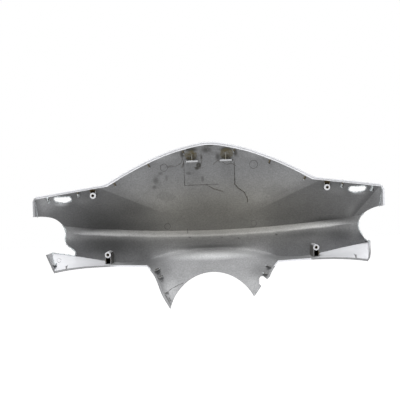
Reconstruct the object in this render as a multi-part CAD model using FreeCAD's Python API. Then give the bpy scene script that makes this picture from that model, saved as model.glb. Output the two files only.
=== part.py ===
import FreeCAD, Part
import math
import os

Vector = FreeCAD.Vector
forward = Vector(0, 1, 0)

# The front half of a scooter's handlebar cover, seen from the rider's side.
# Millimetres. X runs to the right, Y forward from the parting plane into the
# hollow, Z up. Every line below is given on the outside of the wall, and the
# inside is the same line moved in by the wall.
wall = 2.2
rim_step_depth = 1.2
behind_plane = 6.0
rim_slope_share = 0.75

# Cutting shapes run from behind the rim to beyond the deepest point, and beyond both ends
tool_start = -20.0
tool_length = 140.0
tool_width = 700.0
tool_height = 500.0

# Arms: a hollow beam from grip to grip
kink_from_middle = 148.0
kink_height = 24.2
arm_rim_slope = 0.148
arm_rim_round = 60.0
arm_stations = (0, 55, 95, 140, 180, 215, 245)
arm_mark = 150.0
end_mark = 240.0
shoulder_bulge = 0.12

# Heights and depths of the arm's long lines at the middle, at arm_mark and at end_mark
brow_height = (-44.5, -37.2, -24.0)
brow_depth = (77.0, 62.0, 29.0)
ledge_drop = (8.0, 8.0, 15.0)
ledge_return = (13.0, 12.0, 2.0)
belly_height = (-63.0, -67.0, -60.0)
belly_depth = (70.0, 56.5, 36.0)
keel_depth = (75.0, 61.5, 44.0)
arm_bottom_height = (-91.0, -86.5, -99.5)

# Height of the keel, the arm's lowest crease, at each of the arm_stations
keel_height = (-74.0, -76.5, -86.0, -85.5, -76.7, -68.5, -61.5)

# Central shield above the arms: distance from the middle, height of its edge and depth at its foot
shield_outline = (
    (0, 78, 74.2), (25, 74.6, 72.5), (50, 68.2, 68), (78, 57.8, 61), (104, 45.8, 52.5), (130, 32, 40.5),
    (152, 22.8, 26.5))
shield_base = -43.0
shield_bulge = 0.12

# Neck below the arms, at even steps down from neck_top
neck_top = -58.0
neck_step = 14.0
neck_half_width = (100.0, 99.0, 91.0, 80.0, 74.5, 69.5, 62.0, 52.0)
neck_depth = (65.0, 65.0, 46.0, 32.0, 21.0, 13.0, 7.0, 3.0)
neck_lean = 1.3
stem_radius = 61.0
stem_centre_height = -161.5

# Stepped edge that meets the rear cover
rim_step_width = 1.1

# Openings for the grips and levers, from the upper corner round to the lower one
left_notch = (
    (252, -16), (228, -16), (214, -20.5), (206, -29), (201.5, -40), (202.5, -50), (200, -57), (192.5, -64),
    (190, -69))
left_tongue = ((192, -73), (211, -68.5), (222, -67), (252, -67))
right_notch = (
    (248, -16), (229, -18.5), (214, -26), (206, -36), (204, -45), (207.5, -54), (212, -61), (215.5, -65))
right_tongue = ((220, -67.5), (252, -70))

# Arm ends, which close the hollow left and right, clockwise from the lower left
left_end = (
    (-80, -160), (-206, -110), (-215.5, -90), (-225, -67), (-240, -16), (-240, 5), (-238, 9.6), (-233.5, 13))
above_cover = ((-200, 90), (200, 90))
right_end = ((229, 13), (233.5, 9.6), (235.5, 5), (235.5, -16))
right_lower_end = ((214, -64), (214, -80), (212.7, -87), (208, -93.5), (196, -105))
below_cover = (80, -160)

# How far the right lower end leans out with depth
lower_end_lean = 0.13

# Mirror stem slots
slot_from_middle = 200.5
slot_height = 6.5
slot_rise = 9.0
slot_length = 23.5
slot_shape = ((-0.78, 1), (-1, 0.64), (-0.72, 0.2), (0, 0), (0.72, 0.2), (1, 0.64), (0.78, 1))

# Snapped edge of the right leg, from its outer side to the stem opening
break_edge = (
    (92, -103), (79, -103), (77, -107), (73, -111), (68, -107), (65, -107.5), (63, -110), (62.5, -117),
    (65, -120), (63, -123), (56, -132.5), (40, -142))
below_break = ((30, -175), (110, -175), (110, -101))

# Screw pillars
boss_radius = 4.1
pilot_radius = 1.6
pilot_depth = 12.0
web = 1.2
web_setback = 1.0
upper_boss_from_middle = 158.5
upper_boss_height = 10.5
upper_boss_face = 2.5
upper_web_reach = 12.0
lower_boss_from_middle = 142.5
lower_boss_height = -71.0
lower_boss_face = 16.0
lower_web_reach = 14.0

# Clip shelves under the top of the shield
shelf_from_middle = 23.0
shelf_width = 16.0
shelf_thickness = 2.4
shelf_height = 51.0
shelf_face = 5.0
gusset_height = 18.0
gusset_setback = 4.0

# Locating ribs inside the rim: distance from the middle, height and lean
rib_thickness = 1.4
rib_reach = 6.0
rib_face = 1.5
rib_places = (
    (219.5, 7, 8), (179, 13.5, 8), (129, 25.5, 28), (82, 49, 24), (35, 66.5, 18), (76, -93, -70),
    (71.5, -103, -75))
left_leg_ribs = ((64, -124, -70),)
floor_ribs = ((-216.5, -81, 90), (-198, -86, 0), (194, -85, 0))

# Short tongue inside the tip of the left leg, as an outline
tip_tongue = ((-63.6, -127), (-62.2, -126.4), (-55.5, -141), (-57, -141.6))
tip_tongue_face = 1.0


def soft_distance(x, roundness):
    """Distance from the middle, with the corner at zero rounded off."""
    return math.hypot(x, roundness)


def along(x, values):
    """Even curve through the values at the middle, at arm_mark and at end_mark."""
    middle, arm, end = values
    near = arm_mark ** 2
    far = end_mark ** 2
    slope_near = (arm - middle) / near
    slope_far = (end - middle) / far
    quartic = (slope_far - slope_near) / (far - near)
    square = slope_near - quartic * near
    return middle + square * x ** 2 + quartic * x ** 4


def inset(points, distance):
    """Move every side of a closed outline inward by one distance."""
    moved = []
    for index, here in enumerate(points):
        before = points[index - 1]
        after = points[(index + 1) % len(points)]
        first = side_normal(before, here)
        second = side_normal(here, after)
        reach = distance / (1 + first[0] * second[0] + first[1] * second[1])
        moved.append((here[0] + (first[0] + second[0]) * reach, here[1] + (first[1] + second[1]) * reach))
    return moved


def side_normal(start, end):
    """Inward unit normal of one side, for outlines that run clockwise."""
    across = end[0] - start[0]
    up = end[1] - start[1]
    length = math.hypot(across, up)
    return up / length, -across / length


def curve(points):
    spline = Part.BSplineCurve()
    spline.interpolate(points)
    return spline.toShape()


def arc(start, through, end):
    return Part.Arc(start, through, end).toShape()


def line(start, end):
    return Part.LineSegment(start, end).toShape()


def prism(points, start=tool_start):
    """Solid with the given X and Z outline, drawn along Y."""
    corners = [Vector(x, start, z) for x, z in points]
    return extruded(Part.makePolygon(corners + corners[:1]))


def extruded(wire):
    return Part.Face(wire).extrude(Vector(0, tool_length, 0))


# Hollow volumes


def arm_profile(x):
    """Corners of the arm's section at x, as depth and height, clockwise from the top."""
    top = kink_height - arm_rim_slope * (
        soft_distance(x, arm_rim_round) - soft_distance(kink_from_middle, arm_rim_round))
    brow = (along(x, brow_depth), along(x, brow_height))
    ledge = (brow[0] - along(x, ledge_return), brow[1] - along(x, ledge_drop))
    belly = (along(x, belly_depth), along(x, belly_height))
    keel = (along(x, keel_depth), keel_height[arm_stations.index(abs(x))])
    bottom = along(x, arm_bottom_height)
    shoulder = (brow[0] * (0.5 + shoulder_bulge), (top + brow[1]) / 2)
    rise = (top - shoulder[1]) / shoulder[0] * rim_slope_share
    fall = (keel[1] - bottom) / keel[0]
    return [
        (-behind_plane, top + rise * behind_plane), (0, top), shoulder, brow,
        ledge, belly, keel, (-behind_plane, bottom - fall * behind_plane),
    ]


def arm_section(x, depth_in):
    places = [Vector(x, y, z) for y, z in inset(arm_profile(x), depth_in)]
    back_top, rim, shoulder, brow, ledge, belly, keel, back_bottom = places
    return Part.Wire([
        curve([back_top, rim, shoulder, brow]), line(brow, ledge), curve([ledge, belly, keel]),
        line(keel, back_bottom), line(back_bottom, back_top),
    ])


def arm_volume(depth_in):
    places = sorted({sign * x for x in arm_stations for sign in (-1, 1)})
    return Part.makeLoft([arm_section(x, depth_in) for x in places], True, False)


def shield_section(x, top, depth, depth_in):
    middle = (depth * (0.5 + shield_bulge), (top + shield_base) / 2)
    rise = (top - middle[1]) / middle[0] * rim_slope_share
    corners = [
        (-behind_plane, top + rise * behind_plane), (0, top), middle, (depth, shield_base),
        (-behind_plane, shield_base),
    ]
    places = [Vector(x, y, z) for y, z in inset(corners, depth_in)]
    back_top, rim, middle, foot, back_foot = places
    return Part.Wire([
        curve([back_top, rim, middle, foot]), line(foot, back_foot), line(back_foot, back_top)])


def shield_volume(depth_in):
    outline = sorted({(sign * x, top, depth) for x, top, depth in shield_outline for sign in (-1, 1)})
    return Part.makeLoft([shield_section(x, top, depth, depth_in) for x, top, depth in outline], True, False)


def neck_section(height, half_width, depth, depth_in):
    """Half an ellipse in plan, with straight ends that run out behind the rim."""
    half_width -= depth_in
    depth -= depth_in * neck_lean
    turns = [math.radians(angle) for angle in range(0, 181, 30)]
    front = [Vector(half_width * math.cos(turn), depth * math.sin(turn), height) for turn in turns]
    right = Vector(half_width, -behind_plane, height)
    left = Vector(-half_width, -behind_plane, height)
    return Part.Wire([line(right, front[0]), curve(front), line(front[-1], left), line(left, right)])


def neck_volume(depth_in):
    sections = [
        neck_section(neck_top - index * neck_step, half_width, depth, depth_in)
        for index, (half_width, depth) in enumerate(zip(neck_half_width, neck_depth))]
    return Part.makeLoft(sections, True, False)


def hollow_volume(depth_in):
    """The cover's whole bulk, with every wall moved in by depth_in."""
    bulk = arm_volume(depth_in).fuse([shield_volume(depth_in), neck_volume(depth_in)])
    return bulk.common(end_block(depth_in))


def end_block(depth_in):
    """Block that closes the hollow left and right, with the right lower end leaning out."""
    wires = []
    for depth in (tool_start, tool_start + tool_length):
        corners = [Vector(x, depth, z) for x, z in inset(end_outline(depth), depth_in)]
        wires.append(Part.makePolygon(corners + corners[:1]))
    return Part.makeLoft(wires, True, True)


def end_outline(depth):
    """Outline of both arm ends at one depth."""
    leaning = [(x + lower_end_lean * depth, z) for x, z in right_lower_end]
    return [*left_end, *above_cover, *right_end, *leaning, below_cover]


def cover_shell():
    """The moulded skin: bulk less hollow, open at the parting plane, with a stepped rim."""
    outer = hollow_volume(0)
    skin = outer.cut(hollow_volume(wall)).common(slab(0, tool_length))
    step = skin.common(slab(0, rim_step_depth)).common(hollow_volume(wall - rim_step_width))
    return outer, skin.cut(step)


def slab(start, end):
    return Part.makeBox(tool_width, end - start, tool_height, Vector(-tool_width / 2, start, -tool_height / 2))


# Openings through the skin


def grip_notch(side, rounded, tongue):
    """Opening for the grip and lever: a rounded edge, then the straight top of the tongue."""
    bend = [Vector(side * x, tool_start, z) for x, z in rounded]
    straight = [bend[-1]] + [Vector(side * x, tool_start, z) for x, z in tongue]
    corners = zip(straight, straight[1:] + bend[:1])
    return extruded(Part.Wire([curve(bend)] + [line(start, end) for start, end in corners]))


def mirror_slot(x):
    """Slot for a mirror stem, flat on top and round below."""
    half = slot_length / 2
    low = slot_height - slot_rise / 2
    points = [Vector(x + half * across, tool_start, low + slot_rise * up) for across, up in slot_shape]
    edges = [arc(*points[start:start + 3]) for start in (0, 2, 4)]
    edges.append(line(points[-1], points[0]))
    return extruded(Part.Wire(edges))


def stem_opening():
    return Part.makeCylinder(stem_radius, tool_length, Vector(0, tool_start, stem_centre_height), forward)


def broken_leg():
    """What has snapped off the right leg."""
    return prism([*break_edge, *below_break])


# Fixings on the inside


def screw_boss(x, z, face, outer):
    """Round pillar from its face forward to the skin."""
    return Part.makeCylinder(boss_radius, tool_length, Vector(x, face, z), forward).common(outer)


def pilot_hole(x, z, face):
    mouth = 1
    return Part.makeCylinder(pilot_radius, pilot_depth + mouth, Vector(x, face - mouth, z), forward)


def boss_webs(x, z, face, outer, reach):
    """Two thin webs that tie a pillar to the wall above or below it."""
    webs = []
    for side in (-1, 1):
        left = x + side * (boss_radius - web / 2) - web / 2
        low = min(z, z + reach)
        plate = Part.makeBox(web, tool_length, abs(reach), Vector(left, face + web_setback, low))
        webs.append(plate.common(outer))
    return webs


def hook_shelf(x, outer):
    """Shelf for a clip, with an upright gusset on top."""
    left = x - shelf_width / 2
    plate = Part.makeBox(shelf_width, tool_length, shelf_thickness, Vector(left, shelf_face, shelf_height))
    foot = Vector(x - web / 2, shelf_face + gusset_setback, shelf_height)
    gusset = Part.makeBox(web, tool_length, gusset_height, foot)
    return [plate.common(outer), gusset.common(outer)]


def rim_rib(x, z, lean, outer):
    """Small rib that keeps the mating cover's edge in place, square to the rim."""
    corner = Vector(-rib_thickness / 2, rib_face, -rib_reach / 2)
    plate = Part.makeBox(rib_thickness, tool_length, rib_reach, corner)
    plate.rotate(Vector(0, 0, 0), forward, lean)
    plate.translate(Vector(x, 0, z))
    return plate.common(outer)


def cover():
    outer, skin = cover_shell()
    added = []
    for x, z, face, reach in screw_bosses():
        added.append(screw_boss(x, z, face, outer))
        added += boss_webs(x, z, face, outer, reach)
    for side in (-1, 1):
        added += hook_shelf(side * shelf_from_middle, outer)
    for x, z, lean in rim_ribs():
        added.append(rim_rib(x, z, lean, outer))
    added.append(prism(tip_tongue, tip_tongue_face).common(outer))
    body = skin.fuse(added)
    removed = [pilot_hole(x, z, face) for x, z, face, reach in screw_bosses()]
    removed += [grip_notch(-1, left_notch, left_tongue), grip_notch(1, right_notch, right_tongue)]
    removed += [mirror_slot(-slot_from_middle), mirror_slot(slot_from_middle)]
    removed += [stem_opening(), broken_leg()]
    return body.cut(removed)


def screw_bosses():
    """Place, face and web reach of the four screw pillars."""
    upper = [(side * upper_boss_from_middle, upper_boss_height, upper_boss_face, upper_web_reach)
             for side in (-1, 1)]
    lower = [(side * lower_boss_from_middle, lower_boss_height, lower_boss_face, -lower_web_reach)
             for side in (-1, 1)]
    return upper + lower


def rim_ribs():
    """Place and lean of the ribs round the rim, both sides; the broken leg has lost its last."""
    ribs = [(side * x, z, side * lean) for x, z, lean in rib_places for side in (-1, 1)]
    return ribs + [(-x, z, -lean) for x, z, lean in left_leg_ribs] + list(floor_ribs)


def main():
    os.makedirs("parts", exist_ok=True)
    shape = cover()
    print("solids", len(shape.Solids), "valid", shape.isValid(), "volume", round(shape.Volume))
    moulding = shape.Solids[0]
    moulding.translate(Vector(0, -upper_boss_face, -upper_boss_height))
    moulding.exportStep("parts/handlebar_cover.step")


main()
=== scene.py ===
import bpy
import bmesh
import math
import numpy as np
from mathutils import Vector, Matrix
from mathutils.kdtree import KDTree


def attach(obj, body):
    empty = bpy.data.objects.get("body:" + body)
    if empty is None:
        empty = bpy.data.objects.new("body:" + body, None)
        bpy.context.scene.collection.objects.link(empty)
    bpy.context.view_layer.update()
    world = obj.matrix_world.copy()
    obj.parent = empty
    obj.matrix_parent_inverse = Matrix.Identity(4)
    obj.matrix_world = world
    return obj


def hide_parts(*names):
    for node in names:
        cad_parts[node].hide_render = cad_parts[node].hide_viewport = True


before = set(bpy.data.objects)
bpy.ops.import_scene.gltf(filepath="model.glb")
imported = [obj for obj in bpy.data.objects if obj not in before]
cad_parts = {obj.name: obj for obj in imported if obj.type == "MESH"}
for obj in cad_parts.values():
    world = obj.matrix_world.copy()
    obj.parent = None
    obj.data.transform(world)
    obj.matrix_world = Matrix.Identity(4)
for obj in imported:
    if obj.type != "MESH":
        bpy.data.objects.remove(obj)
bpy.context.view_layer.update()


def say(text):
    print("stage:", text)


# The cover is measured in millimetres from the middle of its parting plane:
# x to the right, y from the rim into the hollow, z up
coverSettings = {
    "mergeDistance": 0.01,
    "sampleStep": 1.6,       # spacing of the surface samples that shape the shading
    "softReach": 4.5,        # how far a soft bend is blended
    "creaseAngle": 38,       # bends sharper than this stay crisp
    "valleyReach": 13,       # the rounded valley between the arms and the neck
    "valleyCrease": 125,
    "valleyHalfWidth": 88,
    "valleyHeights": (-90, -64),
    "valleyDepth": 20,       # only what lies deeper than this is rounded
    "lipReach": 5.5,         # the soft lower edge of the ledge
    "lipCrease": 68,
    "lipHalfWidth": 172,
    "lipMarks": (150, 240),  # places along the arm where the height of the lip is given
    "lipHeights": (-52.5, -45.2, -39.0),     # in the middle and at the two marks
    "lipBand": 6.8,
    "lipDepth": 30,
    "refineRounds": 3,
    "longEdge": 4.5,
    "roundingSteps": 14,
    "roundingShare": 0.5,    # how far a point moves towards its neighbours in one step
    "roundingFade": 9,       # how far inside a bend's area the rounding grows to its full strength
}
frameOrigin = (0, 2.5, 10.5)   # where the frame's origin lies on the cover


def place(x, y, z):   # millimetres on the cover to metres in the frame
    return Vector((x, y - frameOrigin[1], z - frameOrigin[2])) / 1000


def onCover(point):   # metres in the frame to millimetres on the cover
    return np.array(point) * 1000 + np.array(frameOrigin)


def surfaceSamples(corners, normals, areas, step):
    # points spread evenly over every triangle, with the triangle's normal and share of area
    points, directions = [], []
    for corner, normal, area in zip(corners, normals, areas):
        count = max(1, int(math.sqrt(area) / step) + 1)
        for i in range(count):
            for j in range(count - i):
                u, v = (i + 1 / 3) / count, (j + 1 / 3) / count
                points.append(corner[0] * (1 - u - v) + corner[1] * u + corner[2] * v)
                directions.append(np.append(normal, area / (count * (count + 1) / 2)))
    return np.array(points), np.array(directions)


def aboveLip(x, z):
    # height over the ledge's lip, which curves evenly through three given heights
    middle, arm, end = coverSettings["lipHeights"]
    near, far = (mark ** 2 for mark in coverSettings["lipMarks"])
    slopeNear, slopeFar = (arm - middle) / near, (end - middle) / far
    bend = (slopeFar - slopeNear) / (far - near)
    return z - (middle + (slopeNear - bend * near) * x ** 2 + bend * x ** 4)


def insideValley(x, y, z):
    # how far inside the valley's area a point lies, below 0 outside it; heights count double
    low, high = coverSettings["valleyHeights"]
    return min(coverSettings["valleyHalfWidth"] - abs(x), y - coverSettings["valleyDepth"],
               (z - low) * 2, (high - z) * 2)


def insideLip(x, y, z):
    # the same for the nose of the ledge
    return min(coverSettings["lipHalfWidth"] - abs(x), y - coverSettings["lipDepth"],
               (coverSettings["lipBand"] - abs(aboveLip(x, z))) * 2)


def bendAt(point):
    # how far the shading blends at a point, in metres, and the sharpest bend that it blends
    spot = onCover(point)
    reach, crease = coverSettings["softReach"], coverSettings["creaseAngle"]
    if insideValley(*spot) > 0:
        reach, crease = coverSettings["valleyReach"], coverSettings["valleyCrease"]
    elif insideLip(*spot) > 0:
        reach, crease = coverSettings["lipReach"], coverSettings["lipCrease"]
    return reach / 1000, math.cos(math.radians(crease))


def roundingAt(point):
    # 1 well inside the two soft bends, 0 outside them
    spot = onCover(point)
    return min(1, max(0, insideValley(*spot), insideLip(*spot)) / coverSettings["roundingFade"])


def roundBends(shell):
    # the valley above the neck and the nose of the ledge are round on the moulding
    chosen = [(vertex, roundingAt(vertex.co)) for vertex in shell.verts]
    chosen = [(vertex, share) for vertex, share in chosen if share > 0]
    for _ in range(coverSettings["roundingSteps"]):
        moved = []
        for vertex, share in chosen:
            around = [edge.other_vert(vertex).co for edge in vertex.link_edges]
            mean = sum(around, Vector()) / len(around)
            moved.append(vertex.co.lerp(mean, share * coverSettings["roundingShare"]))
        for (vertex, share), spot in zip(chosen, moved):
            vertex.co = spot


def softenShading(mesh):
    # each corner's normal becomes the mean of the surface near it, on its own side of any crease
    points = np.array([vertex.co for vertex in mesh.vertices])
    faces = np.array([polygon.vertices for polygon in mesh.polygons])
    normals = np.array([polygon.normal for polygon in mesh.polygons])
    areas = np.array([polygon.area for polygon in mesh.polygons])
    spots, spotData = surfaceSamples(points[faces], normals, areas, coverSettings["sampleStep"] / 1000)
    tree = KDTree(len(spots))
    for index, spot in enumerate(spots):
        tree.insert(spot, index)
    tree.balance()
    near = {}
    for index, point in enumerate(points):
        reach, limit = bendAt(point)
        found = tree.find_range(point, reach)
        if found:
            chosen = np.array([entry[1] for entry in found])
            weight = (1 - np.array([entry[2] for entry in found]) / reach) ** 2
            near[index] = (spotData[chosen, :3], weight * spotData[chosen, 3], limit)
    result = []
    for polygon, normal in zip(mesh.polygons, normals):
        for vertex in polygon.vertices:
            total = normal
            if vertex in near:
                directions, weight, limit = near[vertex]
                alike = directions @ normal > limit
                if alike.any():
                    total = (directions[alike] * weight[alike, None]).sum(0)
            result.append(total / (np.linalg.norm(total) or 1))
    mesh.normals_split_custom_set(result)
    looksUp = mesh.attributes.new("looksUp", "FLOAT", "CORNER")
    looksUp.data.foreach_set("value", [normal[2] for normal in result])


# How thick the silver coat lies on each kind of face: 0 is only mist, 1 a full coat, below 0 bare.
# Heights, depths and distances from the middle are in mm
coatSettings = {
    "outside": 1.0,
    "rim": 0.95, "rimDepth": 1.35,
    "legRim": 0.15, "legHeight": -92,        # the rim is darker round the legs
    "floorRim": 0.12, "floorHeight": -70, "floorFrom": 137,      # and along the lower rim, a painted shade
    "endRim": 0.35, "leftEnd": -236,         # and darker at the left end
    # bare plastic and painted shade on the fronts and sides of the small ribs
    "ribFace": -1.0, "ribDepths": (1.4, 1.6),
    "ribSide": -0.3, "ribMaxDepth": 40, "ribMinHeight": 5,
    "lowRibFace": -0.14, "lowHeight": -60,   # the ribs and webs below the ledge
    "webSide": -0.2, "webReach": 12,
    "cutEdge": 0.55, "cutsFrom": 168,        # walls of the grip notches and mirror slots, their lighter coat partly a painted highlight
    "shelfFront": 0.26, "shelfDepth": 5.0, "shelfHalfWidth": 34, "shelfHeight": 44,
    "floorFacet": 1.0, "facetFrom": 139, "facetFull": 149,
    "bossRing": 0.68, "bossRadius": 4.3, "bossReach": 10,
    "pilotHole": -1.0, "pilotRadius": 1.7,
    "near": 0.2,             # how near a face lies to a depth that counts as on it
    "square": 0.9,           # how squarely a face looks to the front or the side
    "lookingUp": 0.6,
    "lean": 0.02, "cutLean": 0.01,           # how far a wall may lean that runs straight back
    "cornerShare": 0.02,
}
# the screw bosses: distance from the middle, height and depth of the face
bossPlaces = [(side * x, z, face) for x, z, face in ((158.5, 10.5, 2.5), (142.5, -71.0, 16.0))
              for side in (-1, 1)]


def bossCoat(centre, normal):
    # the coat on a screw boss and on the web that holds it, or nothing elsewhere
    x, y, z = centre
    for bossX, bossZ, face in bossPlaces:
        away = math.hypot(x - bossX, z - bossZ)
        isWeb = abs(normal[0]) > coatSettings["square"] and z < coatSettings["lowHeight"]
        if isWeb and away < coatSettings["webReach"]:
            return coatSettings["webSide"]
        if away < coatSettings["pilotRadius"] and y > face:
            return coatSettings["pilotHole"]
        if away < coatSettings["bossRadius"] and abs(y - face) < coatSettings["near"]:
            return coatSettings["bossRing"]


def rimCoat(x, z):
    # the coat on the front of the rim, with a painted shade along the lower rim
    if x < coatSettings["leftEnd"]:
        return coatSettings["endRim"]
    if z < coatSettings["floorHeight"] and abs(x) > coatSettings["floorFrom"]:
        return coatSettings["floorRim"]
    return coatSettings["legRim" if z < coatSettings["legHeight"] else "rim"]


def isRibSide(centre, normal):
    # a wall of a small rib: away from the bosses and the clip shelves
    x, y, z = centre
    if abs(normal[1]) >= coatSettings["lean"]:
        return False
    if y >= coatSettings["ribMaxDepth"] or z <= coatSettings["ribMinHeight"]:
        return False
    if abs(x) < coatSettings["shelfHalfWidth"] and z > coatSettings["shelfHeight"]:
        return False
    away = min(math.hypot(x - bossX, z - bossZ) for bossX, bossZ, face in bossPlaces)
    return away > coatSettings["bossReach"]


def coatOn(centre, normal):
    # the coat on one face, from where it lies and which way it looks
    x, y, z = centre
    looksFront = normal[1] < -coatSettings["square"]
    if normal[1] > coatSettings["lean"]:
        return coatSettings["outside"]
    onBoss = bossCoat(centre, normal)
    if onBoss is not None:
        return onBoss
    if y < coatSettings["rimDepth"]:
        return rimCoat(x, z)
    # the fronts of the small ribs are bare, with painted shade
    if looksFront and coatSettings["ribDepths"][0] < y < coatSettings["ribDepths"][1]:
        return coatSettings["ribFace" if z > coatSettings["lowHeight"] else "lowRibFace"]
    # the walls of the notches and slots: lighter, partly as a painted highlight
    if abs(normal[1]) < coatSettings["cutLean"] and abs(x) > coatSettings["cutsFrom"]:
        return coatSettings["cutEdge"]
    if looksFront and abs(y - coatSettings["shelfDepth"]) < coatSettings["near"]:
        return coatSettings["shelfFront"]
    if isRibSide(centre, normal):
        return coatSettings["ribSide"]
    start, full = coatSettings["facetFrom"], coatSettings["facetFull"]
    if normal[2] > coatSettings["lookingUp"] and z < coatSettings["lowHeight"] and abs(x) > start:
        return coatSettings["floorFacet"] * min(1, (abs(x) - start) / (full - start))
    return 0.0


def markCoat(mesh):
    # one value per face corner, read just off the middle of the face, towards that corner
    coat = mesh.attributes.new("coat", "FLOAT", "CORNER")
    values = np.zeros(len(mesh.loops))
    share = coatSettings["cornerShare"]
    for polygon in mesh.polygons:
        centre, normal = onCover(polygon.center), polygon.normal
        for loop in polygon.loop_indices:
            corner = onCover(mesh.vertices[mesh.loops[loop].vertex_index].co)
            values[loop] = coatOn(centre * (1 - share) + corner * share, normal)
    coat.data.foreach_set("value", values)


def refineBends(shell):
    # splits long edges where the shading blends widely, so that it has enough points
    for _ in range(coverSettings["refineRounds"]):
        long = []
        for edge in shell.edges:
            middle = (edge.verts[0].co + edge.verts[1].co) / 2
            isSoft = bendAt(middle)[0] > coverSettings["softReach"] / 1000
            if isSoft and edge.calc_length() > coverSettings["longEdge"] / 1000:
                long.append(edge)
        bmesh.ops.subdivide_edges(shell, edges=long, cuts=1)
        bmesh.ops.triangulate(shell, faces=shell.faces)


def buildCover():
    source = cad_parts["handlebar_cover"]
    mesh = source.data.copy()
    mesh.name = "coverShell"
    shell = bmesh.new()
    shell.from_mesh(mesh)
    bmesh.ops.remove_doubles(shell, verts=shell.verts, dist=coverSettings["mergeDistance"] / 1000)
    bmesh.ops.recalc_face_normals(shell, faces=shell.faces)
    refineBends(shell)
    roundBends(shell)
    shell.to_mesh(mesh)
    shell.free()
    mesh.materials.clear()
    cover = bpy.data.objects.new("coverShell", mesh)
    bpy.context.scene.collection.objects.link(cover)
    mesh.shade_smooth()
    markCoat(mesh)
    softenShading(mesh)
    return cover


# Marks and paint are placed as seen from the front, from the place of the camera, in mm
eyePlace = (-13.9, -1300, -0.5)


# Small helpers for building node trees

def joinInput(tree, value, socket):
    # a socket is linked, a number or colour is written on the node
    if isinstance(value, bpy.types.NodeSocket):
        tree.links.new(value, socket)
    else:
        socket.default_value = value


def addMath(tree, operation, first, second=0.0, clamp=False):
    node = tree.nodes.new("ShaderNodeMath")
    node.operation = operation
    node.use_clamp = clamp
    joinInput(tree, first, node.inputs[0])
    joinInput(tree, second, node.inputs[1])
    return node.outputs[0]


def addVectorMath(tree, operation, first, second=(0, 0, 0)):
    node = tree.nodes.new("ShaderNodeVectorMath")
    node.operation = operation
    joinInput(tree, first, node.inputs[0])
    joinInput(tree, second, node.inputs[1])
    return node.outputs["Value" if operation == "LENGTH" else "Vector"]


def addScaled(tree, vector, factor):
    node = tree.nodes.new("ShaderNodeVectorMath")
    node.operation = "SCALE"
    tree.links.new(vector, node.inputs[0])
    tree.links.new(factor, node.inputs["Scale"])
    return node.outputs["Vector"]


def addShare(tree, value, share):
    # 1 and a share of the value
    factor = addMath(tree, "MULTIPLY_ADD", value, share)
    factor.node.inputs[2].default_value = 1
    return factor


def addRange(tree, value, start, end, low=0.0, high=1.0):
    # soft step from low to high while the value goes from start to end
    node = tree.nodes.new("ShaderNodeMapRange")
    node.interpolation_type = "SMOOTHSTEP"
    joinInput(tree, value, node.inputs["Value"])
    for name, number in (("From Min", start), ("From Max", end), ("To Min", low), ("To Max", high)):
        node.inputs[name].default_value = number
    return node.outputs["Result"]


def addColorMix(tree, factor, first, second, blend="MIX"):
    node = tree.nodes.new("ShaderNodeMix")
    node.data_type = "RGBA"
    node.blend_type = blend
    colors = [socket for socket in node.inputs if socket.type == "RGBA"]
    joinInput(tree, factor, node.inputs[0])
    joinInput(tree, first, colors[0])
    joinInput(tree, second, colors[1])
    return [socket for socket in node.outputs if socket.type == "RGBA"][0]


def addNoise(tree, point, size, detail, roughness, shift):
    # noise with features of about the given size in mm
    node = tree.nodes.new("ShaderNodeTexNoise")
    node.inputs["Scale"].default_value = 1 / size
    node.inputs["Detail"].default_value = detail
    node.inputs["Roughness"].default_value = roughness
    tree.links.new(addVectorMath(tree, "ADD", point, (shift, shift * 0.7, -shift)), node.inputs["Vector"])
    return node.outputs["Fac"]


def coverPoint(tree):
    # Object coordinates turned into millimetres on the cover
    coordinates = tree.nodes.new("ShaderNodeTexCoord")
    scaled = addVectorMath(tree, "MULTIPLY", coordinates.outputs["Object"], (1000, 1000, 1000))
    return addVectorMath(tree, "ADD", scaled, frameOrigin)


def frontPoint(tree, point):
    # the same point moved along its line of sight from the front to the parting plane
    away = addVectorMath(tree, "SUBTRACT", point, eyePlace)
    parts = tree.nodes.new("ShaderNodeSeparateXYZ")
    tree.links.new(away, parts.inputs[0])
    share = addMath(tree, "DIVIDE", -eyePlace[1], parts.outputs["Y"])
    spread = tree.nodes.new("ShaderNodeCombineXYZ")
    for socket in spread.inputs:
        tree.links.new(share, socket)
    return addVectorMath(tree, "ADD", addVectorMath(tree, "MULTIPLY", away, spread.outputs[0]), eyePlace)


def readAttribute(tree, name):
    node = tree.nodes.new("ShaderNodeAttribute")
    node.attribute_name = name
    return node.outputs["Fac"]


def buildPatchGroup():
    # 1 inside an ellipse seen from the front, falling to 0 at its edge
    group = bpy.data.node_groups.new("sprayPatch", "ShaderNodeTree")
    for name, kind in (("Point", "NodeSocketVector"), ("Centre", "NodeSocketVector"),
                       ("Half Size", "NodeSocketVector"), ("Core", "NodeSocketFloat")):
        group.interface.new_socket(name, in_out="INPUT", socket_type=kind)
    group.interface.new_socket("Mask", in_out="OUTPUT", socket_type="NodeSocketFloat")
    source = group.nodes.new("NodeGroupInput")
    target = group.nodes.new("NodeGroupOutput")
    away = addVectorMath(group, "SUBTRACT", source.outputs["Point"], source.outputs["Centre"])
    flat = addVectorMath(group, "MULTIPLY", away, (1, 0, 1))
    flat = addVectorMath(group, "DIVIDE", flat, source.outputs["Half Size"])
    fade = group.nodes.new("ShaderNodeMapRange")
    fade.interpolation_type = "SMOOTHSTEP"
    group.links.new(addVectorMath(group, "LENGTH", flat), fade.inputs["Value"])
    group.links.new(source.outputs["Core"], fade.inputs["From Min"])
    fade.inputs["From Max"].default_value = 1
    fade.inputs["To Min"].default_value = 1
    fade.inputs["To Max"].default_value = 0
    group.links.new(fade.outputs["Result"], target.inputs["Mask"])
    return group


patchGroup = buildPatchGroup()


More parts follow.
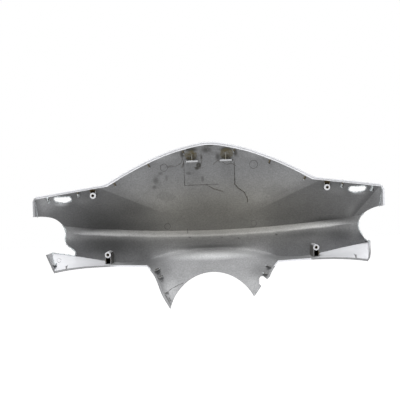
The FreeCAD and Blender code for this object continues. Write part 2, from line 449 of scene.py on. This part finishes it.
def addPatch(tree, point, x, z, halfX, halfZ, core=0.0):
    node = tree.nodes.new("ShaderNodeGroup")
    node.node_tree = patchGroup
    tree.links.new(point, node.inputs["Point"])
    node.inputs["Centre"].default_value = (x, 0, z)
    node.inputs["Half Size"].default_value = (halfX, 1, halfZ)
    node.inputs["Core"].default_value = core
    return node.outputs["Mask"]


def scaleByPatches(tree, point, start, patches):
    # each patch makes the value more (above 0) or less (below 0) by its share
    value = start
    for x, z, halfX, halfZ, share in patches:
        factor = addShare(tree, addPatch(tree, point, x, z, halfX, halfZ), share)
        value = addMath(tree, "MULTIPLY", value, factor)
    return value


paintSettings = {
    "mist": 0.21,              # how light the thin grey mist is on walls
    "mistOnTop": 0.25,         # and on surfaces that look up
    "silver": (0.66, 0.665, 0.69, 1),
    "bare": (0.055, 0.041, 0.019, 1),       # moulded plastic that no paint reached
    "oliveBare": (0.088, 0.070, 0.024, 1),
    "dirt": (0.030, 0.028, 0.023, 1),
    "coolTint": (0.99, 1.0, 1.02, 1),
    "warmTint": (1.05, 1.015, 0.90, 1), "warmPatch": (10, -20, 240, 66),
    "specks": ((1.9, 0.5, 4, 0), (22, 0.16, 3, 40)),    # size, share, detail and shift of the noise
    "looksUp": (0.12, 0.5),    # from where to where a surface changes from wall to top
    "armShade": 0.68,          # painted shade: the arms are darker than the shield, from the crease on
    "creaseFoot": (50, -22), "creaseSlope": 0.4286, "creaseSoft": 1.6, "creaseFade": (40, 105),
    "endFoot": (203.3, -18.3), "endSlope": 1.063,       # painted shade and painted light at the crease beside the right notch
    "endSoft": 1.3, "endShade": 0.6, "endLight": 1.7, "endReach": 8, "endFade": (182, 198),
    "roughMist": 0.62, "roughSilver": 0.38,
    # each noise: size, detail, roughness, shift
    "dirtNoise": (5, 4, 0.65, 12), "dirtLimits": (0.24, 0.46),
    "oliveNoise": (4, 3, 0.6, 70),
    "cloudNoise": (30, 3, 0.55, 30), "cloudShades": (0.94, 1.03),
    "wearNoise": (9, 3, 0.6, 55), "wearShare": 0.12,
    "peelNoise": (1.1, 4, 0.55, 5), "peelStrength": 0.35,
    "peelHeight": 0.00012,     # orange peel of the coat, in metres
    "smudgeShade": 0.86,
    # how a patch's edge is broken up: size, share and shift of the noise
    "smudgeEdge": (7, 1.3, 90), "oliveEdge": (5, 1.1, 15), "edgeLimits": (0.25, 0.6),
}

# Places, in mm: x, z, half width, half height, share added to the mist. Besides thicker and thinner mist,
# they hold painted shade in the pockets above and below the ledge and painted light near the slots and on
# the ends
wallMistAndShadePatches = (
    (-150, -26, 62, 26, -0.45), (-112, -34, 72, 18, -0.40), (130, -28, 80, 30, -0.28),
    (0, -34, 130, 40, -0.38), (0, 2, 84, 40, -0.16), (-142, -60, 84, 20, -0.50),
    (0, -64, 78, 6, -0.7), (0, -51, 110, 11, -0.38), (-200, 0.5, 14, 4, 1.4),
    (200, 1.5, 14, 4, 1.2), (176, -58, 40, 14, -0.42), (-224, 4, 20, 24, 1.2),
    (-205, 2, 16, 16, 0.5), (228, 2, 12, 34, 0.7), (-96, 34, 46, 28, 0.20),
    (108, 30, 48, 28, 0.22), (-196, -40, 18, 16, 0.5), (190, -24, 14, 16, 0.25),
    (0, -16, 92, 34, -0.35), (-160, -14, 84, 42, -0.36), (-104, -12, 40, 18, -0.25),
    (-150, -56, 72, 16, -0.35), (172, -52, 30, 12, -0.35), (0, -62, 76, 10, -0.35),
    (155, -34, 40, 8, -0.45), (-172, 4, 24, 10, 0.35), (170, 6, 24, 10, 0.3),
    (130, -51, 72, 9, -0.30), (-140, -51, 64, 9, -0.35), (-62, 60, 22, 12, 0.5),
    (62, 60, 22, 12, 0.4), (202, -57, 10, 8, -0.3),
)
# The same for surfaces that look up. These also hold painted light and shade: the lit and shaded bands of
# the ledge, painted shade above the neck and a painted highlight on the band at (0, -77)
topMistAndShadePatches = (
    (0, -46, 86, 14, -0.30), (-150, -44, 60, 10, 0.55), (152, -43, 62, 10, 0.9),
    (-194, -45, 32, 14, -0.50), (162, -31, 52, 8, -0.75), (-152, -33, 58, 7, -0.7),
    (194, -38, 34, 16, -0.42), (0, -66, 80, 7, -0.75), (0, -77, 76, 7, 0.90),
    (0, -98, 90, 18, -0.12), (-62, -132, 24, 34, 1.1), (60, -122, 26, 22, 0.40),
    (-104, -84, 34, 14, -0.50), (112, -82, 34, 14, -0.30), (62, -98, 24, 20, -0.38),
    (-66, -90, 20, 22, -0.30), (-86, -80, 28, 17, -0.50), (86, -80, 28, 17, -0.35),
)
barePatches = (   # x, z, half width, half height, core: unpainted plastic behind bosses and shelves
    (-158.5, 17.5, 4.2, 4.4, 0.75), (158.5, 17.5, 4.2, 4.4, 0.75),
    (-141.0, -77.3, 3.8, 4.6, 0.75), (140.8, -77.3, 3.8, 4.6, 0.75),
)
pilotPatches = (   # painted shade in the mouths of the pilot holes
    (-158.5, 10.5, 2.3, 2.3, 0.7), (158.5, 10.5, 2.3, 2.3, 0.7),
    (-141, -70.1, 2.3, 2.3, 0.7), (140.6, -70.1, 2.3, 2.3, 0.7),
)
olivePatches = (
    (-24, 60, 11.5, 9, 0.45), (24, 61, 11.5, 10, 0.45),
)
dirtPatches = (   # x, z, half width, half height, core, depth of the dirt
    (-14, 46.5, 4.5, 5, 0.5, 1.0), (-16.5, 42.5, 4, 3, 0.4, 0.9), (-3, 67, 10, 6.5, 0.2, 0.75),
    (12, 57, 5, 8, 0.1, 0.7), (-36, 62, 4, 6.5, 0.3, 0.85), (36, 62, 4, 6.5, 0.3, 0.85),
    (-10, 57, 2.4, 7, 0.2, 0.6), (-73, 28, 6, 7, 0.1, 0.5), (-66, 37, 5, 4, 0.1, 0.45),
    (-75, 19, 4, 4, 0.2, 0.5), (-28, 36, 6, 3, 0.1, 0.45), (-9, 28, 3, 7, 0.1, 0.4),
    (-58, 31, 3, 6, 0.1, 0.35), (0, 73, 10, 2.5, 0.3, 0.9), (30, 52, 8, 3, 0.2, 0.5),
    (-24, 68, 12, 4.5, 0.3, 0.9), (24, 67, 12, 4.5, 0.3, 0.9),
)
smudgePatches = (   # faint dirt on the shield
    (-70, 24, 9, 12), (-72, 34, 8, 6), (-52, 46, 14, 4), (-28, 36, 7, 5), (-10, 28, 4, 8), (4, 62, 10, 6),
    (38, 58, 5, 7), (86, 8, 30, 14), (-60, 6, 24, 10),
)


def strongest(tree, masks):
    value = masks[0]
    for mask in masks[1:]:
        value = addMath(tree, "MAXIMUM", value, mask)
    return value


def belowLine(tree, across, height, foot, slope, soft):
    # 1 under a straight line through the foot, as seen from the front
    rise = addMath(tree, "MULTIPLY", addMath(tree, "SUBTRACT", across, foot[0]), slope)
    above = addMath(tree, "SUBTRACT", addMath(tree, "SUBTRACT", height, foot[1]), rise)
    return addRange(tree, above, soft, -soft)


def paintedCreaseShades(tree, seen):
    # painted shade: the arms are darker below the shield's crease, and the right end has a painted dark
    # corner and a painted lighter wall
    parts = tree.nodes.new("ShaderNodeSeparateXYZ")
    tree.links.new(seen, parts.inputs[0])
    right, height = parts.outputs["X"], parts.outputs["Z"]
    outward = addMath(tree, "ABSOLUTE", right)
    arm = belowLine(tree, outward, height, paintSettings["creaseFoot"], paintSettings["creaseSlope"],
                    paintSettings["creaseSoft"])
    arm = addMath(tree, "MULTIPLY", arm, addRange(tree, outward, *paintSettings["creaseFade"]))
    atEnd = addRange(tree, right, *paintSettings["endFade"])
    footX, footZ = paintSettings["endFoot"]
    reach = paintSettings["endReach"]
    slope = paintSettings["endSlope"]
    wall = belowLine(tree, right, height, (footX, footZ), slope, paintSettings["endSoft"])
    corner = belowLine(tree, right, height, (footX - reach, footZ), slope, reach)
    shade = addRange(tree, arm, 0, 1, 1, paintSettings["armShade"])
    for mask, share in ((wall, paintSettings["endLight"]), (corner, paintSettings["endShade"])):
        mask = addMath(tree, "MULTIPLY", mask, atEnd)
        shade = addMath(tree, "MULTIPLY", shade, addRange(tree, mask, 0, 1, 1, share))
    return shade


def roughEdge(tree, point, mask, size, share, shift):
    # breaks up the edge of a mask with noise
    speck = addMath(tree, "SUBTRACT", addNoise(tree, point, size, 3, 0.6, shift), 0.5)
    wander = addMath(tree, "MULTIPLY", speck, share)
    return addRange(tree, addMath(tree, "ADD", mask, wander), *paintSettings["edgeLimits"])


def mistAndPaintedShade(tree, point, seen):
    # thin grey overspray: thick near the rim and on what looks up, thin in the deep pockets; its patches
    # also hold painted shade in the pockets and creases and painted highlights on the ledge and above the
    # neck
    start = addMath(tree, "MULTIPLY", paintedCreaseShades(tree, seen), paintSettings["mist"])
    walls = scaleByPatches(tree, seen, start, wallMistAndShadePatches)
    tops = scaleByPatches(tree, seen, paintSettings["mistOnTop"], topMistAndShadePatches)
    looksUp = addRange(tree, readAttribute(tree, "looksUp"), *paintSettings["looksUp"])
    walls = addMath(tree, "MULTIPLY", walls, addMath(tree, "SUBTRACT", 1.0, looksUp))
    level = addMath(tree, "ADD", walls, addMath(tree, "MULTIPLY", tops, looksUp))
    for size, share, detail, shift in paintSettings["specks"]:
        speck = addMath(tree, "SUBTRACT", addNoise(tree, point, size, detail, 0.6, shift), 0.5)
        level = addMath(tree, "MULTIPLY", level, addShare(tree, speck, share * 2))
    smudge = strongest(tree, [addPatch(tree, seen, *spot) for spot in smudgePatches])
    smudge = roughEdge(tree, point, smudge, *paintSettings["smudgeEdge"])
    smudge = addRange(tree, smudge, 0, 1, 1, paintSettings["smudgeShade"])
    level = addMath(tree, "MULTIPLY", level, smudge)
    grey = tree.nodes.new("ShaderNodeCombineColor")
    for socket in grey.inputs:
        tree.links.new(level, socket)
    warm = addPatch(tree, seen, *paintSettings["warmPatch"])
    tint = addColorMix(tree, warm, paintSettings["coolTint"], paintSettings["warmTint"])
    return addColorMix(tree, 1.0, grey.outputs[0], tint, "MULTIPLY")


def dirtMask(tree, point, seen):
    # grainy dirt, deepest where its patches say
    dirt = [addMath(tree, "MULTIPLY", addPatch(tree, seen, *spot[:5]), spot[5]) for spot in dirtPatches]
    grain = addNoise(tree, point, *paintSettings["dirtNoise"])
    grain = addRange(tree, grain, *paintSettings["dirtLimits"])
    return addMath(tree, "MULTIPLY", strongest(tree, dirt), grain)


def pilotMouthShade(tree, seen, coat):
    # painted shade in the mouths of the pilot holes, but not what lies behind them on the outside
    mouth = strongest(tree, [addPatch(tree, seen, *spot) for spot in pilotPatches])
    return addMath(tree, "MULTIPLY", addRange(tree, mouth, 0.1, 0.5), addRange(tree, coat, 0.95, 0.85))


def insideColor(tree, point, seen, coat, mouth):
    # mist with its painted light and shade, with dirt on it, and bare plastic where the spray didn't
    # reach, which also stands as painted shade in the mouths of the pilot holes and on the small ribs
    color = mistAndPaintedShade(tree, point, seen)
    isMist = addRange(tree, coat, 0.35, 0.0)
    dirt = addMath(tree, "MULTIPLY", dirtMask(tree, point, seen), isMist)
    color = addColorMix(tree, dirt, color, paintSettings["dirt"])
    olive = strongest(tree, [addPatch(tree, seen, *spot) for spot in olivePatches])
    olive = roughEdge(tree, point, olive, *paintSettings["oliveEdge"])
    olive = addMath(tree, "MULTIPLY", olive, isMist)
    uneven = addRange(tree, addNoise(tree, point, *paintSettings["oliveNoise"]), 0.3, 0.75, 0.35, 1.0)
    color = addColorMix(tree, addMath(tree, "MULTIPLY", olive, uneven), color, paintSettings["oliveBare"])
    hidden = strongest(tree, [addPatch(tree, seen, *spot) for spot in barePatches])
    hidden = addMath(tree, "MULTIPLY", addRange(tree, hidden, 0.05, 0.4), isMist)
    hole = addMath(tree, "MAXIMUM", addRange(tree, coat, -0.05, -0.4), mouth)
    return addColorMix(tree, addMath(tree, "MAXIMUM", hidden, hole), color, paintSettings["bare"])


def paintedPlastic():
    # silver coat outside and on the rim, mist inside with its painted light and shade, bare plastic where
    # no paint reached
    paint = bpy.data.materials.new("oversprayWithPaintedShade")
    paint.use_nodes = True
    tree = paint.node_tree
    shader = tree.nodes["Principled BSDF"]
    point = coverPoint(tree)
    seen = frontPoint(tree, point)
    coat = readAttribute(tree, "coat")
    mouth = pilotMouthShade(tree, seen, coat)
    inside = insideColor(tree, point, seen, coat, mouth)
    cloud = addNoise(tree, point, *paintSettings["cloudNoise"])
    cloud = addRange(tree, cloud, 0.3, 0.7, *paintSettings["cloudShades"])
    silver = addColorMix(tree, 1.0, paintSettings["silver"], cloud, "MULTIPLY")
    full = addMath(tree, "MULTIPLY", coat, addMath(tree, "SUBTRACT", 1.0, mouth), clamp=True)
    joinInput(tree, addColorMix(tree, full, inside, silver), shader.inputs["Base Color"])
    sheen = addRange(tree, full, 0.2, 0.9, paintSettings["roughMist"], paintSettings["roughSilver"])
    wear = addMath(tree, "SUBTRACT", addNoise(tree, point, *paintSettings["wearNoise"]), 0.5)
    wear = addMath(tree, "MULTIPLY", wear, paintSettings["wearShare"])
    joinInput(tree, addMath(tree, "ADD", sheen, wear), shader.inputs["Roughness"])
    shader.inputs["IOR"].default_value = 1.46
    bump = tree.nodes.new("ShaderNodeBump")
    bump.inputs["Strength"].default_value = paintSettings["peelStrength"]
    bump.inputs["Distance"].default_value = paintSettings["peelHeight"]
    joinInput(tree, addNoise(tree, point, *paintSettings["peelNoise"]), bump.inputs["Height"])
    joinInput(tree, bump.outputs["Normal"], shader.inputs["Normal"])
    return paint


cover = buildCover()
cover.data.materials.append(paintedPlastic())
say("cover")

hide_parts("handlebar_cover")
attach(cover, "root")


# Thin marks that lie on the inner surface: mould lines, dried glue, the pale line along trimmed edges,
# partly a burr and partly a painted highlight, and the painted shadows and highlights of the small ribs

trailSettings = {
    "step": 0.7,               # spacing of the points along a mark, in mm
    "lineWander": 0.5, "glueWander": 1.6,    # how far a mark strays, in mm
    "lineSeed": 3, "glueSeed": 8,
    "sunk": 0.75,              # share of the radius that lies in the surface
    "sides": 6, "strayScale": 180, "ringPoints": 14,
    "lineAndShadowColor": (0.040, 0.038, 0.034, 1),
    "glueColor": (0.055, 0.048, 0.036, 1),
    # the pale burr colour is partly a painted highlight
    "burrAndHighlightColor": (0.44, 0.47, 0.48, 1), "burrRadius": 0.85,
    "burrDepth": 2,            # no burr on the rim itself
    "thickness": (0.6, 1.4),   # how the radius varies along a mark
}
pinMarks = (   # ejector pins: x, z, radius of the circle, radius of the line
    (-61, 45, 5, 0.22), (60, 45, 5.5, 0.18), (-59, -34.5, 4, 0.24), (57.5, -34.5, 4, 0.22),
    (-207, -75, 2.8, 0.14),
)
lineMarks = (   # radius of the line, then its points
    (0.30, ((-34, 50), (-34, 20))),
    (0.24, ((-34, 20), (12, 20))),
    (0.34, ((34, 50), (34, 40))),
    (0.60, ((34, 40), (34, 20))),
    (0.36, ((-32, -45), (-32, -38))),
    (0.55, ((-31, -50), (-28, -51))), (0.7, ((13, -52), (15, -52.5))),
    (0.7, ((35, -53), (37, -54))), (0.6, ((86, -50), (89, -51))),
    (0.32, ((-66.5, -125), (-62, -134), (-58, -141))), (0.32, ((-60.5, -130.5), (-58.5, -135))),
    (0.26, ((-64, -124), (-57, -119), (-47, -114), (-41, -112))),
)
glueMarks = (
    (0.50, ((33, 20), (38, 14), (46, 8), (50, 0))),
    (0.90, ((49.5, 2), (50.5, -2), (50, -6))),
    (0.34, ((-5, 20), (5, 14), (18, 10))),
    (0.22, ((-56, 45), (-52, 47), (-45, 46), (-38, 50), (-35, 58))),
    (0.34, ((-36, 57), (-34, 50), (-37, 44))),
    (0.32, ((-10, 60), (-9.5, 52), (-11, 48))),
    (0.30, ((5, 47), (12, 52), (18, 50), (24, 46), (30, 48), (36, 44))),
    (0.30, ((-20, 44), (-14, 42), (-8, 43))),
)


# The ribs inside the rim: distance from the middle, height and lean
ribPlaces = ((219.5, 7, 8), (179, 13.5, 8), (129, 25.5, 28), (82, 49, 24), (35, 66.5, 18),
             (76, -93, 110), (71.5, -103, 105))
ribSettings = {
    "shadow": 0.75, "shadowSide": 0.9,       # the painted shadow beside a rib, partly dirt: radius and distance
    "tip": 0.8, "tipLength": 0.9,            # the painted highlight on its inner end
    "steps": (-1.0, 1, 3.4),                 # places along the rib, from its middle
}


def ribMarks():
    # a dark mark along the side of each rib, partly dirt and partly painted shadow, and a painted
    # highlight on its inner end
    shadows, tips = [], []
    for distance, height, lean in ribPlaces:
        for side in (-1, 1):
            turn = math.radians(side * lean)
            inward = Vector((-math.sin(turn), -math.cos(turn)))
            across = Vector((-inward.y, inward.x)) * ribSettings["shadowSide"]
            middle = Vector((side * distance, height))
            dark = [middle + across + inward * step for step in ribSettings["steps"]]
            end = ribSettings["steps"][-1]
            light = [middle + inward * (end + step) for step in (0, ribSettings["tipLength"])]
            shadows.append((ribSettings["shadow"], [tuple(spot) for spot in dark]))
            tips.append((ribSettings["tip"], [tuple(spot) for spot in light]))
    return tuple(shadows), tuple(tips)


def addMarks(name, marks):
    # the marks as plain lines, in the parting plane where no depth is given, with their radius
    points, edges, radii, known = [], [], [], {}
    for radius, line in marks:
        for index, spot in enumerate(line):
            here = place(*(spot if len(spot) == 3 else (spot[0], 0, spot[1])))
            key = tuple(round(value, 6) for value in here)
            if key not in known:
                known[key] = len(points)
                points.append(here)
                radii.append(radius / 1000)
            if index:
                edges.append((last, known[key]))
            last = known[key]
    mesh = bpy.data.meshes.new(name)
    mesh.from_pydata(points, edges, [])
    mesh.attributes.new("markRadius", "FLOAT", "POINT").data.foreach_set("value", radii)
    holder = bpy.data.objects.new(name, mesh)
    bpy.context.scene.collection.objects.link(holder)
    return holder


def circlePoints(x, z, radius):
    count = trailSettings["ringPoints"]
    turns = [2 * math.pi * step / count for step in range(count + 1)]
    return tuple((x + radius * math.cos(turn), z + radius * math.sin(turn)) for turn in turns)


def buildTrailTree():
    # drops lines onto the cover along the line of sight and gives them a round section
    tree = bpy.data.node_groups.new("surfaceTrail", "GeometryNodeTree")
    for name, kind in (("Geometry", "NodeSocketGeometry"), ("Cover", "NodeSocketObject"),
                       ("Eye", "NodeSocketVector"), ("Step", "NodeSocketFloat"),
                       ("Wander", "NodeSocketFloat"), ("Seed", "NodeSocketInt"),
                       ("Sunk Share", "NodeSocketFloat"), ("Sides", "NodeSocketInt"),
                       ("Material", "NodeSocketMaterial")):
        tree.interface.new_socket(name, in_out="INPUT", socket_type=kind)
    tree.interface.new_socket("Geometry", in_out="OUTPUT", socket_type="NodeSocketGeometry")
    given = tree.nodes.new("NodeGroupInput").outputs
    link = tree.links.new

    curve = tree.nodes.new("GeometryNodeMeshToCurve")
    link(given["Geometry"], curve.inputs["Mesh"])
    even = tree.nodes.new("GeometryNodeResampleCurve")
    even.mode = "LENGTH"
    link(curve.outputs["Curve"], even.inputs["Curve"])
    link(given["Step"], even.inputs["Length"])

    # the line strays a little, the same way each time for the same seed
    noise = tree.nodes.new("ShaderNodeTexNoise")
    noise.noise_dimensions = "4D"
    noise.inputs["Scale"].default_value = trailSettings["strayScale"]
    link(given["Seed"], noise.inputs["W"])
    centred = addVectorMath(tree, "SUBTRACT", noise.outputs["Color"], (0.5, 0.5, 0.5))
    moved = tree.nodes.new("GeometryNodeSetPosition")
    link(even.outputs["Curve"], moved.inputs["Geometry"])
    link(addScaled(tree, centred, given["Wander"]), moved.inputs["Offset"])

    # its points go along the line of sight to the surface, and stand a little out of it
    target = tree.nodes.new("GeometryNodeObjectInfo")
    target.transform_space = "RELATIVE"
    link(given["Cover"], target.inputs["Object"])
    position = tree.nodes.new("GeometryNodeInputPosition").outputs[0]
    ray = tree.nodes.new("GeometryNodeRaycast")
    link(target.outputs["Geometry"], ray.inputs["Target Geometry"])
    link(given["Eye"], ray.inputs["Source Position"])
    link(addVectorMath(tree, "SUBTRACT", position, given["Eye"]), ray.inputs["Ray Direction"])
    ray.inputs["Ray Length"].default_value = 3
    radius = tree.nodes.new("GeometryNodeInputNamedAttribute")
    radius.data_type = "FLOAT"
    radius.inputs["Name"].default_value = "markRadius"
    uneven = addMath(tree, "MULTIPLY", radius.outputs["Attribute"],
                     addRange(tree, noise.outputs["Fac"], 0.3, 0.7, *trailSettings["thickness"]))
    lift = addMath(tree, "MULTIPLY", uneven, addMath(tree, "SUBTRACT", 1.0, given["Sunk Share"]))
    raised = addScaled(tree, ray.outputs["Hit Normal"], lift)
    landed = tree.nodes.new("GeometryNodeSetPosition")
    link(moved.outputs["Geometry"], landed.inputs["Geometry"])
    link(ray.outputs["Is Hit"], landed.inputs["Selection"])
    link(addVectorMath(tree, "ADD", ray.outputs["Hit Position"], raised), landed.inputs["Position"])

    section = tree.nodes.new("GeometryNodeCurvePrimitiveCircle")
    section.inputs["Radius"].default_value = 1
    link(given["Sides"], section.inputs["Resolution"])
    solid = tree.nodes.new("GeometryNodeCurveToMesh")
    solid.inputs["Fill Caps"].default_value = True
    link(landed.outputs["Geometry"], solid.inputs["Curve"])
    link(uneven, solid.inputs["Scale"])
    link(section.outputs["Curve"], solid.inputs["Profile Curve"])
    painted = tree.nodes.new("GeometryNodeSetMaterial")
    link(solid.outputs["Mesh"], painted.inputs["Geometry"])
    link(given["Material"], painted.inputs["Material"])
    real = tree.nodes.new("GeometryNodeRealizeInstances")
    link(painted.outputs["Geometry"], real.inputs["Geometry"])
    link(real.outputs["Geometry"], tree.nodes.new("NodeGroupOutput").inputs["Geometry"])
    return tree


def markMaterial(name, color, roughness):
    material = bpy.data.materials.new(name)
    material.use_nodes = True
    tree = material.node_tree
    shader = tree.nodes["Principled BSDF"]
    shade = addRange(tree, addNoise(tree, coverPoint(tree), 3, 3, 0.6, 25), 0.3, 0.7, 0.6, 1.5)
    joinInput(tree, addColorMix(tree, 1.0, color, shade, "MULTIPLY"), shader.inputs["Base Color"])
    shader.inputs["Roughness"].default_value = roughness
    return material


def layTrails(name, marks, tree, wander, seed, material):
    # one piece of marks, made a plain mesh once its trail tree has run
    holder = addMarks(name, marks)
    trail = holder.modifiers.new("surfaceTrail", "NODES")
    trail.node_group = tree
    values = {"Cover": cover, "Eye": tuple(place(*eyePlace)), "Step": trailSettings["step"] / 1000,
              "Wander": wander / 1000, "Seed": seed, "Sunk Share": trailSettings["sunk"],
              "Sides": trailSettings["sides"], "Material": material}
    for item in tree.interface.items_tree:
        if item.in_out == "INPUT" and item.name in values:
            trail[item.identifier] = values[item.name]
    graph = bpy.context.evaluated_depsgraph_get()
    mesh = bpy.data.meshes.new_from_object(holder.evaluated_get(graph))
    holder.modifiers.clear()
    holder.data = mesh
    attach(holder, "root")
    print(name, len(mesh.polygons), "faces", [slot.name for slot in mesh.materials])


def cutEdgeBurrAndHighlight():
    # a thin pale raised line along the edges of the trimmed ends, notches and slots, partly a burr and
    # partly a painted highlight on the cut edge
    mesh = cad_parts["handlebar_cover"].data
    shell = bmesh.new()
    shell.from_mesh(mesh)
    bmesh.ops.remove_doubles(shell, verts=shell.verts, dist=coverSettings["mergeDistance"] / 1000)
    lines = []
    for edge in shell.edges:
        ends = [tuple(onCover(vertex.co)) for vertex in edge.verts]
        outward = min(abs(end[0]) for end in ends)
        if len(edge.link_faces) != 2 or outward < coatSettings["cutsFrom"]:
            continue
        facing = sorted(face.normal.y for face in edge.link_faces)
        isTrimmed = facing[0] < -0.05 and abs(facing[1]) < coatSettings["cutLean"]
        if isTrimmed and min(end[1] for end in ends) > trailSettings["burrDepth"]:
            lines.append((trailSettings["burrRadius"], ends))
    shell.free()
    return lines


trailTree = buildTrailTree()
rings = tuple((line, circlePoints(x, z, radius)) for x, z, radius, line in pinMarks)
ribShadows, ribTipHighlights = ribMarks()
# mould lines, pin rings and the painted shadows beside the ribs
layTrails("mouldLines", lineMarks + rings + ribShadows, trailTree,
          trailSettings["lineWander"], trailSettings["lineSeed"],
          markMaterial("scribedLineAndRibShadow", trailSettings["lineAndShadowColor"], 0.7))
layTrails("glueTrails", glueMarks, trailTree, trailSettings["glueWander"], trailSettings["glueSeed"],
          markMaterial("driedGlue", trailSettings["glueColor"], 0.45))
# the pale burr, partly a painted highlight on the cut edges, and the painted highlights on the rib ends
layTrails("trimBurr", cutEdgeBurrAndHighlight() + list(ribTipHighlights), trailTree, 0.0, 1,
          markMaterial("trimmedEdgeAndHighlight", trailSettings["burrAndHighlightColor"], 0.5))
say("marks")


# Plain pale studio

studioSettings = {
    "rollDegrees": 2.1,       # how far the part is turned in the image
    "frameWidth": 540,        # what the image spans at the rim, in mm
    "sensorWidth": 36,
    "floorHeight": -330, "floorHalfSize": 6.0,
    "floorColor": (0.9, 0.9, 0.9, 1), "floorRoughness": 0.9,
    "floorLift": 0.9,         # how white the floor looks, apart from shadow
    "topPower": 40.0, "topSize": 0.9, "topPlace": (-0.25, -1.1, 1.3),
    "frontPower": 4.0, "frontSize": 1.6, "frontPlace": (0.1, -1.9, 0.5),
    "worldLight": 0.12,
}


def seenDirectly(tree):
    # 1 for what the camera sees, straight or in a reflection
    rays = tree.nodes.new("ShaderNodeLightPath")
    return addMath(tree, "MAXIMUM", rays.outputs["Is Camera Ray"], rays.outputs["Is Glossy Ray"])


def buildFloor():
    size = studioSettings["floorHalfSize"]
    height = place(0, 0, studioSettings["floorHeight"]).z
    mesh = bpy.data.meshes.new("studioFloor")
    corners = [(x * size, y * size, height) for x, y in ((-1, -1), (1, -1), (1, 1), (-1, 1))]
    mesh.from_pydata(corners, [], [(0, 1, 2, 3)])
    floor = bpy.data.objects.new("studioFloor", mesh)
    bpy.context.scene.collection.objects.link(floor)
    material = bpy.data.materials.new("paleFloor")
    material.use_nodes = True
    tree = material.node_tree
    shader = tree.nodes["Principled BSDF"]
    shader.inputs["Base Color"].default_value = studioSettings["floorColor"]
    shader.inputs["Roughness"].default_value = studioSettings["floorRoughness"]
    shader.inputs["Emission Color"].default_value = (1, 1, 1, 1)
    lift = addMath(tree, "MULTIPLY", seenDirectly(tree), studioSettings["floorLift"])
    joinInput(tree, lift, shader.inputs["Emission Strength"])
    mesh.materials.append(material)
    return floor


def buildWorld():
    world = bpy.data.worlds.new("studioAir")
    bpy.context.scene.world = world
    world.use_nodes = True
    tree = world.node_tree
    background = tree.nodes["Background"]
    background.inputs["Color"].default_value = (1, 1, 1, 1)
    strength = tree.nodes.new("ShaderNodeMix")
    strength.data_type = "FLOAT"
    strength.inputs["A"].default_value = studioSettings["worldLight"]
    strength.inputs["B"].default_value = 1.0
    joinInput(tree, seenDirectly(tree), strength.inputs["Factor"])
    joinInput(tree, strength.outputs["Result"], background.inputs["Strength"])


def addSoftLight(name, power, size, position):
    lamp = bpy.data.lights.new(name, "AREA")
    lamp.energy = power
    lamp.size = size
    holder = bpy.data.objects.new(name, lamp)
    bpy.context.scene.collection.objects.link(holder)
    holder.location = position
    holder.rotation_euler = (-Vector(position)).to_track_quat("-Z", "Y").to_euler()


def buildCamera():
    view = bpy.data.cameras.new("photoView")
    holder = bpy.data.objects.new("photoView", view)
    bpy.context.scene.collection.objects.link(holder)
    distance = -eyePlace[1]
    view.sensor_width = studioSettings["sensorWidth"]
    view.lens = view.sensor_width * distance / studioSettings["frameWidth"]
    holder.location = place(*eyePlace)
    level = Matrix.Rotation(math.radians(90), 4, "X")
    roll = Matrix.Rotation(math.radians(-studioSettings["rollDegrees"]), 4, "Z")
    holder.rotation_euler = (level @ roll).to_euler()
    bpy.context.scene.camera = holder


buildFloor()
buildWorld()
for lamp in ("top", "front"):
    addSoftLight(lamp + "Softbox", studioSettings[lamp + "Power"], studioSettings[lamp + "Size"],
                 studioSettings[lamp + "Place"])
buildCamera()
bpy.context.scene.view_settings.view_transform = "Standard"
say("studio")
